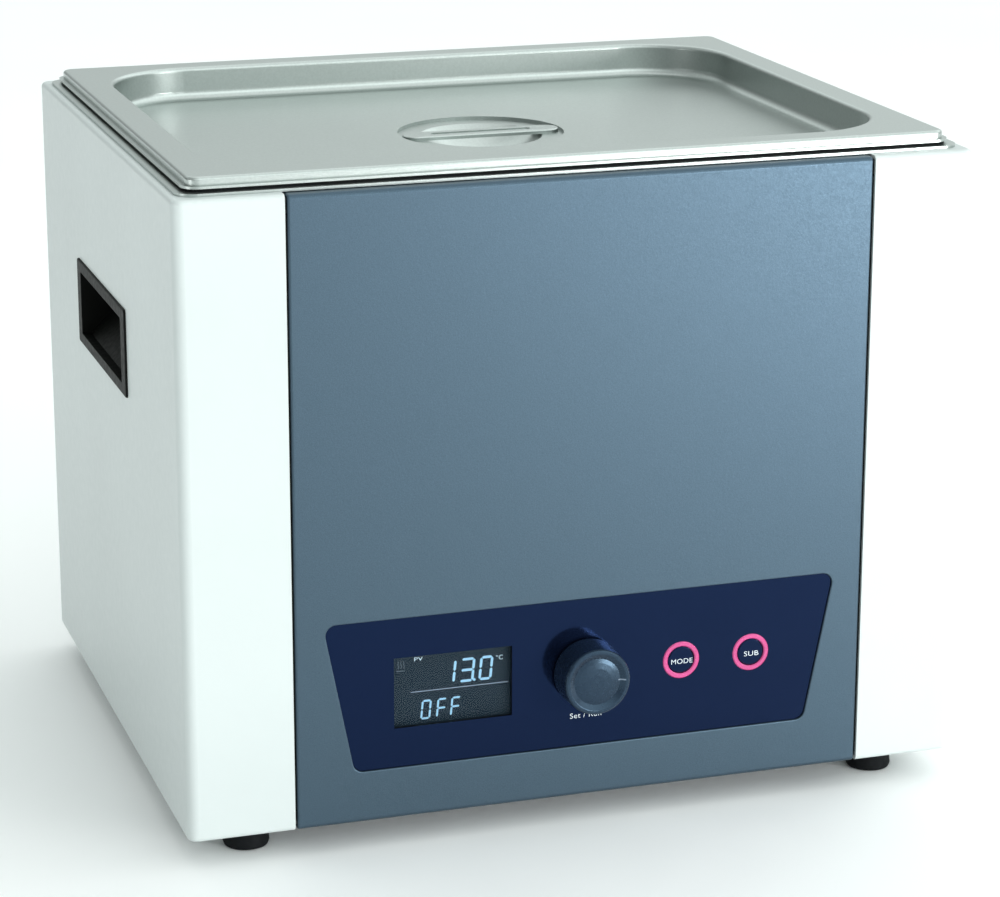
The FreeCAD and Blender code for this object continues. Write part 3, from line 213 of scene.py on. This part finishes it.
def fibre(name, colour):
    """Matt fibre blanket with a loose, soft surface."""
    look = Look(name)
    look.colours(look.noise(300.0, 4.0, 0.7), shade(colour, 0.8), shade(colour, 1.05))
    look.rough(look.noise(600.0, 2.0), 0.85, 1.0)
    look.bump(look.noise(420.0, 4.0, 0.7), 0.7, 0.0006)
    return look.material


WHITE = (0.569, 0.616, 0.611)
GREY_BLUE = (0.065, 0.101, 0.135)
STEEL = (0.455, 0.495, 0.48)
NAVY = (0.0018, 0.0030, 0.0085)

LOOKS = {
    "white_shell": powder_coat("white_powder_coat", WHITE),
    "grey_blue_paint": metallic_paint("grey_blue_metallic", GREY_BLUE),
    "galvanised": plain_metal("galvanised_sheet", (0.55, 0.57, 0.58), 0.42),
    "stainless": satin_steel("stainless_sheet", STEEL),
    "screw_steel": plain_metal("plated_screws", (0.62, 0.62, 0.60), 0.28),
    "black_rubber": rubber("black_rubber", (0.006, 0.007, 0.008)),
    "black_plastic": moulded_plastic("black_moulding", (0.003, 0.0035, 0.003), 0.5, shine=0.1),
    "knob_plastic": moulded_plastic("slate_knob", (0.007, 0.013, 0.026), 0.27, 2200.0, 0.00002, 0.7,
                                    (0.46, 0.73, 1.0)),
    "navy_film": printed_film("navy_film", NAVY),
    "pink_ring": moulded_plastic("pink_ring", (0.54, 0.062, 0.225), 0.16, 2400.0, 0.00001, 0.6),
    "button_cap": printed_film("navy_cap", NAVY),
    "smoked_lens": smoked_glass("smoked_window", (0.02, 0.035, 0.05), 0.25),
    "display": printed_film("display_cell", (0.010, 0.018, 0.030), 0.3, 0.3, (0.7, 0.85, 1.0)),
    "circuit_board": moulded_plastic("board_lacquer", (0.02, 0.12, 0.05), 0.35),
    "component": moulded_plastic("component_moulding", (0.015, 0.015, 0.017), 0.5),
    "heater_rubber": rubber("heater_silicone", (0.35, 0.08, 0.03)),
    "aluminium": plain_metal("aluminium_plate", (0.72, 0.73, 0.74), 0.4),
    "insulation": fibre("fibre_blanket", (0.75, 0.74, 0.68)),
    "brass": plain_metal("brass", (0.62, 0.44, 0.16), 0.3),
    "copper_laminate": plain_metal("laminations", (0.28, 0.20, 0.12), 0.5),
    "lead_jacket": moulded_plastic("lead_jacket", (0.25, 0.03, 0.02), 0.4),
    "fuse_glass": smoked_glass("fuse_glass", (0.7, 0.72, 0.72), 0.5),
}
SLOT_OF = {part["node"]: part["material_slot"] for part in frame["record"]["subparts"]}
for name, obj in NODES.items():
    obj.data.materials.clear()
    obj.data.materials.append(LOOKS[SLOT_OF[name]])

# ---------------------------------------------------------------- flat printed marks


def keep(obj, body, material):
    obj.data.materials.clear()
    obj.data.materials.append(material)
    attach(obj, body)
    return obj


def sheet_from_outlines(name, outlines, y, thick):
    """Thin flat plates in the XZ plane, one for each outline of (x, z) points, facing -Y."""
    mesh = bpy.data.meshes.new(name)
    made = bmesh.new()
    for points in outlines:
        face = made.faces.new([made.verts.new((x, y, z)) for x, z in points])
        face.normal_update()
        if face.normal.y > 0:
            face.normal_flip()
    bmesh.ops.recalc_face_normals(made, faces=made.faces[:])
    for face in list(made.faces):
        if face.normal.y > 0:
            face.normal_flip()
    grown = bmesh.ops.extrude_face_region(made, geom=made.faces[:])
    verts = [item for item in grown["geom"] if isinstance(item, bmesh.types.BMVert)]
    bmesh.ops.translate(made, verts=verts, vec=(0.0, -thick, 0.0))
    bmesh.ops.recalc_face_normals(made, faces=made.faces[:])
    made.to_mesh(mesh)
    made.free()
    obj = bpy.data.objects.new(name, mesh)
    bpy.context.scene.collection.objects.link(obj)
    return obj


SEGMENTS = {"0": "abcdef", "1": "bc", "3": "abgcd", "O": "abcdef", "F": "aefg"}
BAR_SLANT = 0.10
BAR_GAP = 0.12


def digit_outlines(mark, left, foot, wide, high, bar):
    """Outlines of the lit bars of one seven-segment digit."""
    gap = bar * BAR_GAP
    half = high / 2
    spans = {
        "a": ((0, high), (wide, high)), "g": ((0, half), (wide, half)), "d": ((0, 0), (wide, 0)),
        "b": ((wide, half), (wide, high)), "c": ((wide, 0), (wide, half)),
        "e": ((0, 0), (0, half)), "f": ((0, half), (0, high)),
    }
    made = []
    for letter in SEGMENTS[mark]:
        start, end = (Vector(point) for point in spans[letter])
        along = (end - start).normalized()
        across = Vector((-along.y, along.x)) * bar / 2
        start = start + along * gap
        end = end - along * gap
        tip = along * bar / 2
        ring = [start, start + tip + across, end - tip + across,
                end, end - tip - across, start + tip - across]
        made.append([(left + p.x + p.y * BAR_SLANT, foot + p.y) for p in ring])
    return made


def box_outline(low_x, low_z, high_x, high_z):
    return [(low_x, low_z), (high_x, low_z), (high_x, high_z), (low_x, high_z)]


def round_outline(x, z, radius, steps=24):
    turns = [2 * math.pi * i / steps for i in range(steps)]
    return [(x + radius * math.cos(turn), z + radius * math.sin(turn)) for turn in turns]


# The display's digits and rule: left edges, feet and sizes in mm, from the casing's middle and underside.
READING = (("1", -60.5, 4.7), ("3", -53.0, 5.4), ("0", -44.4, 4.7))
READING_FOOT = 55.25
READING_HIGH = 9.5
READING_BAR = 1.1
POINT_PLACE = (-46.7, 55.35)
POINT_RADIUS = 0.6
STATE = (("O", -69.9), ("F", -63.1), ("F", -57.0))
STATE_FOOT = 40.65
STATE_WIDE = 3.5
STATE_HIGH = 7.7
STATE_BAR = 0.85
RULE_FROM = (-74.3, 52.6)
RULE_TO = (-31.8, 52.95)
MARK_GAP = 0.02 * MM
MARK_THICK = 0.05 * MM


def at(x, z):
    """A place on the front from mm off the casing's middle and underside."""
    return x * MM, UNDER_Z + z * MM


def display_marks():
    """Lit marks on the display: a temperature, a line under it and the state."""
    lit = []
    for mark, left, wide in READING:
        lit += digit_outlines(mark, *at(left, READING_FOOT), wide * MM, READING_HIGH * MM, READING_BAR * MM)
    lit.append(round_outline(*at(*POINT_PLACE), POINT_RADIUS * MM))
    for mark, left in STATE:
        lit += digit_outlines(mark, *at(left, STATE_FOOT), STATE_WIDE * MM, STATE_HIGH * MM, STATE_BAR * MM)
    marks = sheet_from_outlines("display_digits", lit, DISPLAY_Y - MARK_GAP, MARK_THICK)
    keep(marks, "casing", printed_ink("lit_segments", (0.36, 0.66, 0.90), 1.0))
    line = box_outline(*at(*RULE_FROM), *at(*RULE_TO))
    rule = sheet_from_outlines("display_rule", [line], DISPLAY_Y - MARK_GAP, MARK_THICK)
    keep(rule, "casing", printed_ink("rule_ink", (0.36, 0.43, 0.54), 0.55))


FONT_DEPTH = 0.02 * MM
CAPITAL_SHARE = 1.42
LETTER_SPACE = 1.06
THINNING = 0.008


def label(name, text, centre, high, wide, body, material):
    """A short printed word facing -Y, centred on its place, with capitals and a length as asked."""
    curve = bpy.data.curves.new(name, "FONT")
    curve.body = text
    curve.size = high * CAPITAL_SHARE
    curve.space_character = LETTER_SPACE
    curve.resolution_u = 6
    curve.extrude = FONT_DEPTH
    curve.offset = -high * THINNING
    raw = bpy.data.objects.new(name + "_text", curve)
    bpy.context.scene.collection.objects.link(raw)
    bpy.context.view_layer.update()
    mesh = bpy.data.meshes.new_from_object(raw)
    bpy.data.objects.remove(raw)
    mesh.name = name
    across = [vert.co.x for vert in mesh.vertices]
    mesh.transform(Matrix.Translation((-(min(across) + max(across)) / 2, -high / 2, 0.0)))
    mesh.transform(Matrix.Diagonal((wide / (max(across) - min(across)), 1.0, 1.0, 1.0)))
    mesh.transform(Matrix.Rotation(math.pi / 2, 4, "X"))
    mesh.transform(Matrix.Translation(Vector(centre) - Vector((0.0, FONT_DEPTH, 0.0))))
    obj = bpy.data.objects.new(name, mesh)
    bpy.context.scene.collection.objects.link(obj)
    return keep(obj, body, material)


KEY_WORDS = (("MODE", "mode_button", "mode", 9.6), ("SUB", "sub_button", "sub", 6.6))
KEY_WORD_HIGH = 2.2
KEY_WORD_RIGHT = 0.3
KEY_WORD_DROP = 0.5
KNOB_WORD_Z = 36.0
KNOB_WORD_HIGH = 2.3
KNOB_WORD_WIDE = 14.0
SMALL_SIGNS = (("celsius_sign", "°C", -35.6, 64.0, 2.0, 2.9), ("value_sign", "PV", -70.9, 67.2, 1.7, 3.6))
WAVE_PLACES = (-79.9, -78.7, -77.5)
WAVE_BENDS = ((0.0, 63.6), (0.28, 64.7), (-0.12, 65.8), (0.2, 66.9))
WAVE_WIDE = 0.3
WAVE_THICK = 0.04 * MM
PLATE_FROM = (-80.5, 62.45)
PLATE_TO = (-76.8, 62.8)


def panel_marks():
    """The words on the keys and under the knob, and the small signs of the display."""
    # The white print glows faintly (0.12): a painted glow that lightens the words beyond the light falling
    # on them.
    ink = printed_ink("white_ink_painted_glow", (0.66, 0.72, 0.76), 0.12)
    cap_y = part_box("mode_button")[0].y
    for word, node, body, wide in KEY_WORDS:
        centre = middle(node)
        place = (centre.x + KEY_WORD_RIGHT * MM, cap_y, centre.z - KEY_WORD_DROP * MM)
        label(word.lower() + "_word", word, place, KEY_WORD_HIGH * MM, wide * MM, body, ink)
    place = (KNOB_X, OVERLAY_Y, UNDER_Z + KNOB_WORD_Z * MM)
    label("knob_word", "Set / Run", place, KNOB_WORD_HIGH * MM, KNOB_WORD_WIDE * MM,
          "casing", ink)
    lit = printed_ink("small_signs", (0.62, 0.80, 0.90), 1.3)
    y = DISPLAY_Y - MARK_GAP
    for name, text, x, z, high, wide in SMALL_SIGNS:
        place = (x * MM, y, UNDER_Z + z * MM)
        label(name, text, place, high * MM, wide * MM, "casing", lit)
    # The unlit heat sign glows faintly (0.3): painted light on a mark that is not lit.
    unlit = printed_ink("unlit_signs_painted_glow", (0.13, 0.17, 0.21), 0.3)
    waves = []
    for x in WAVE_PLACES:
        near = [at(x + dx, z) for dx, z in WAVE_BENDS]
        far = [(px + WAVE_WIDE * MM, pz) for px, pz in reversed(near)]
        waves.append(near + far)
    waves.append(box_outline(*at(*PLATE_FROM), *at(*PLATE_TO)))
    keep(sheet_from_outlines("heat_sign", waves, y, WAVE_THICK), "casing", unlit)


TICK_RUN = ((9.2, 1.14), (10.1, 1.35), (12.3, 0.05))
TICK_HALF = 0.28
TICK_SUNK = -0.05
TICK_THICK = 0.30


def knob_tick():
    """A short line moulded across the bevel of the knob's face, at its right."""
    mesh = bpy.data.meshes.new("knob_tick")
    points = []
    for radius, back in TICK_RUN:
        for side in (-TICK_HALF, TICK_HALF):
            for lift in (TICK_SUNK, TICK_SUNK + TICK_THICK):
                points.append((KNOB_X + radius * MM, KNOB_LOW.y + (back + lift) * MM, KNOB_Z + side * MM))
    faces = [(0, 1, 3, 2), (8, 10, 11, 9)]
    for start in (0, 4):
        faces += [(start, start + 2, start + 6, start + 4), (start + 1, start + 5, start + 7, start + 3),
                  (start, start + 4, start + 5, start + 1), (start + 2, start + 3, start + 7, start + 6)]
    mesh.from_pydata(points, [], faces)
    made = bmesh.new()
    made.from_mesh(mesh)
    bmesh.ops.recalc_face_normals(made, faces=made.faces[:])
    made.to_mesh(mesh)
    made.free()
    obj = bpy.data.objects.new("knob_tick", mesh)
    bpy.context.scene.collection.objects.link(obj)
    keep(obj, "knob", printed_ink("tick_ink", (0.16, 0.21, 0.28)))


knob_tick()
display_marks()
panel_marks()

# ---------------------------------------------------------------- floor, light and camera


FLOOR_HALF = 12.0


def floor():
    mesh = bpy.data.meshes.new("floor")
    corners = [(x, y, 0.0) for x, y in ((-FLOOR_HALF, -FLOOR_HALF), (FLOOR_HALF, -FLOOR_HALF),
                                        (FLOOR_HALF, FLOOR_HALF), (-FLOOR_HALF, FLOOR_HALF))]
    mesh.from_pydata(corners, [], [(0, 1, 2, 3)])
    obj = bpy.data.objects.new("floor", mesh)
    bpy.context.scene.collection.objects.link(obj)
    look = Look("pale_floor")
    look.colours(look.noise(3.0, 2.0), (0.95, 0.955, 0.955), (0.97, 0.975, 0.975))
    look.rough(look.noise(30.0, 2.0), 0.6, 0.75)
    mesh.materials.append(look.material)


LIGHT_AIM = (0.0, 0.0, 0.16)


def area_light(name, place, wide, high, power):
    data = bpy.data.lights.new(name, "AREA")
    data.shape = "RECTANGLE"
    data.size = wide
    data.size_y = high
    data.energy = power
    obj = bpy.data.objects.new(name, data)
    obj.location = place
    obj.rotation_euler = (Vector(LIGHT_AIM) - Vector(place)).to_track_quat("-Z", "Y").to_euler()
    bpy.context.scene.collection.objects.link(obj)


def studio():
    """A pale room: bright in front and at mid height, dimmer low down, overhead and on the left."""
    world = bpy.data.worlds.new("studio")
    bpy.context.scene.world = world
    world.use_nodes = True
    tree = world.node_tree
    background = tree.nodes["Background"]
    background.inputs["Color"].default_value = (0.93, 1.0, 0.985, 1.0)
    axes = tree.nodes.new("ShaderNodeSeparateXYZ")
    tree.links.new(tree.nodes.new("ShaderNodeTexCoord").outputs["Generated"], axes.inputs["Vector"])

    def graded(axis, start, end, low, high):
        made = tree.nodes.new("ShaderNodeMapRange")
        made.interpolation_type = "SMOOTHSTEP"
        for key, value in zip(("From Min", "From Max", "To Min", "To Max"), (start, end, low, high)):
            made.inputs[key].default_value = value
        tree.links.new(axes.outputs[axis], made.inputs["Value"])
        return made.outputs["Result"]

    strength = graded("X", -1.0, 1.0, 0.38, 1.23)
    for factor in (graded("Z", 0.20, 0.52, 0.66, 1.62), graded("Z", 0.55, 0.90, 1.0, 0.65),
                   graded("Y", -1.0, -0.3, 1.55, 1.0)):
        product = tree.nodes.new("ShaderNodeMath")
        product.operation = "MULTIPLY"
        tree.links.new(strength, product.inputs[0])
        tree.links.new(factor, product.inputs[1])
        strength = product.outputs["Value"]
    tree.links.new(strength, background.inputs["Strength"])


def lights():
    area_light("front_light", (1.02, -1.50, 0.23), 0.7, 0.4, 18.0)
    area_light("top_light", (0.3, 0.2, 2.3), 2.2, 2.2, 6.0)
    area_light("left_light", (-2.2, -0.7, 0.16), 1.0, 0.6, 6.0)


LENS_SENSOR = 36.0
FOCAL_WIDTHS = 3.17116
CAMERA_FROM_FOOT = Vector((-0.4233, -1.1788, 0.5234))
CAMERA_LOOK = Vector((0.29424, 0.91639, -0.27137))
SHIFT_X = 0.017
SHIFT_Y = -0.04


def camera():
    data = bpy.data.cameras.new("camera")
    data.sensor_fit = "HORIZONTAL"
    data.sensor_width = LENS_SENSOR
    data.lens = FOCAL_WIDTHS * LENS_SENSOR
    data.shift_x = SHIFT_X
    data.shift_y = SHIFT_Y
    obj = bpy.data.objects.new("camera", data)
    obj.location = Vector((0.0, FRONT_Y, UNDER_Z)) + CAMERA_FROM_FOOT
    obj.rotation_euler = CAMERA_LOOK.to_track_quat("-Z", "Y").to_euler()
    bpy.context.scene.collection.objects.link(obj)
    bpy.context.scene.camera = obj


floor()
studio()
lights()
camera()
bpy.context.scene.view_settings.view_transform = "Standard"
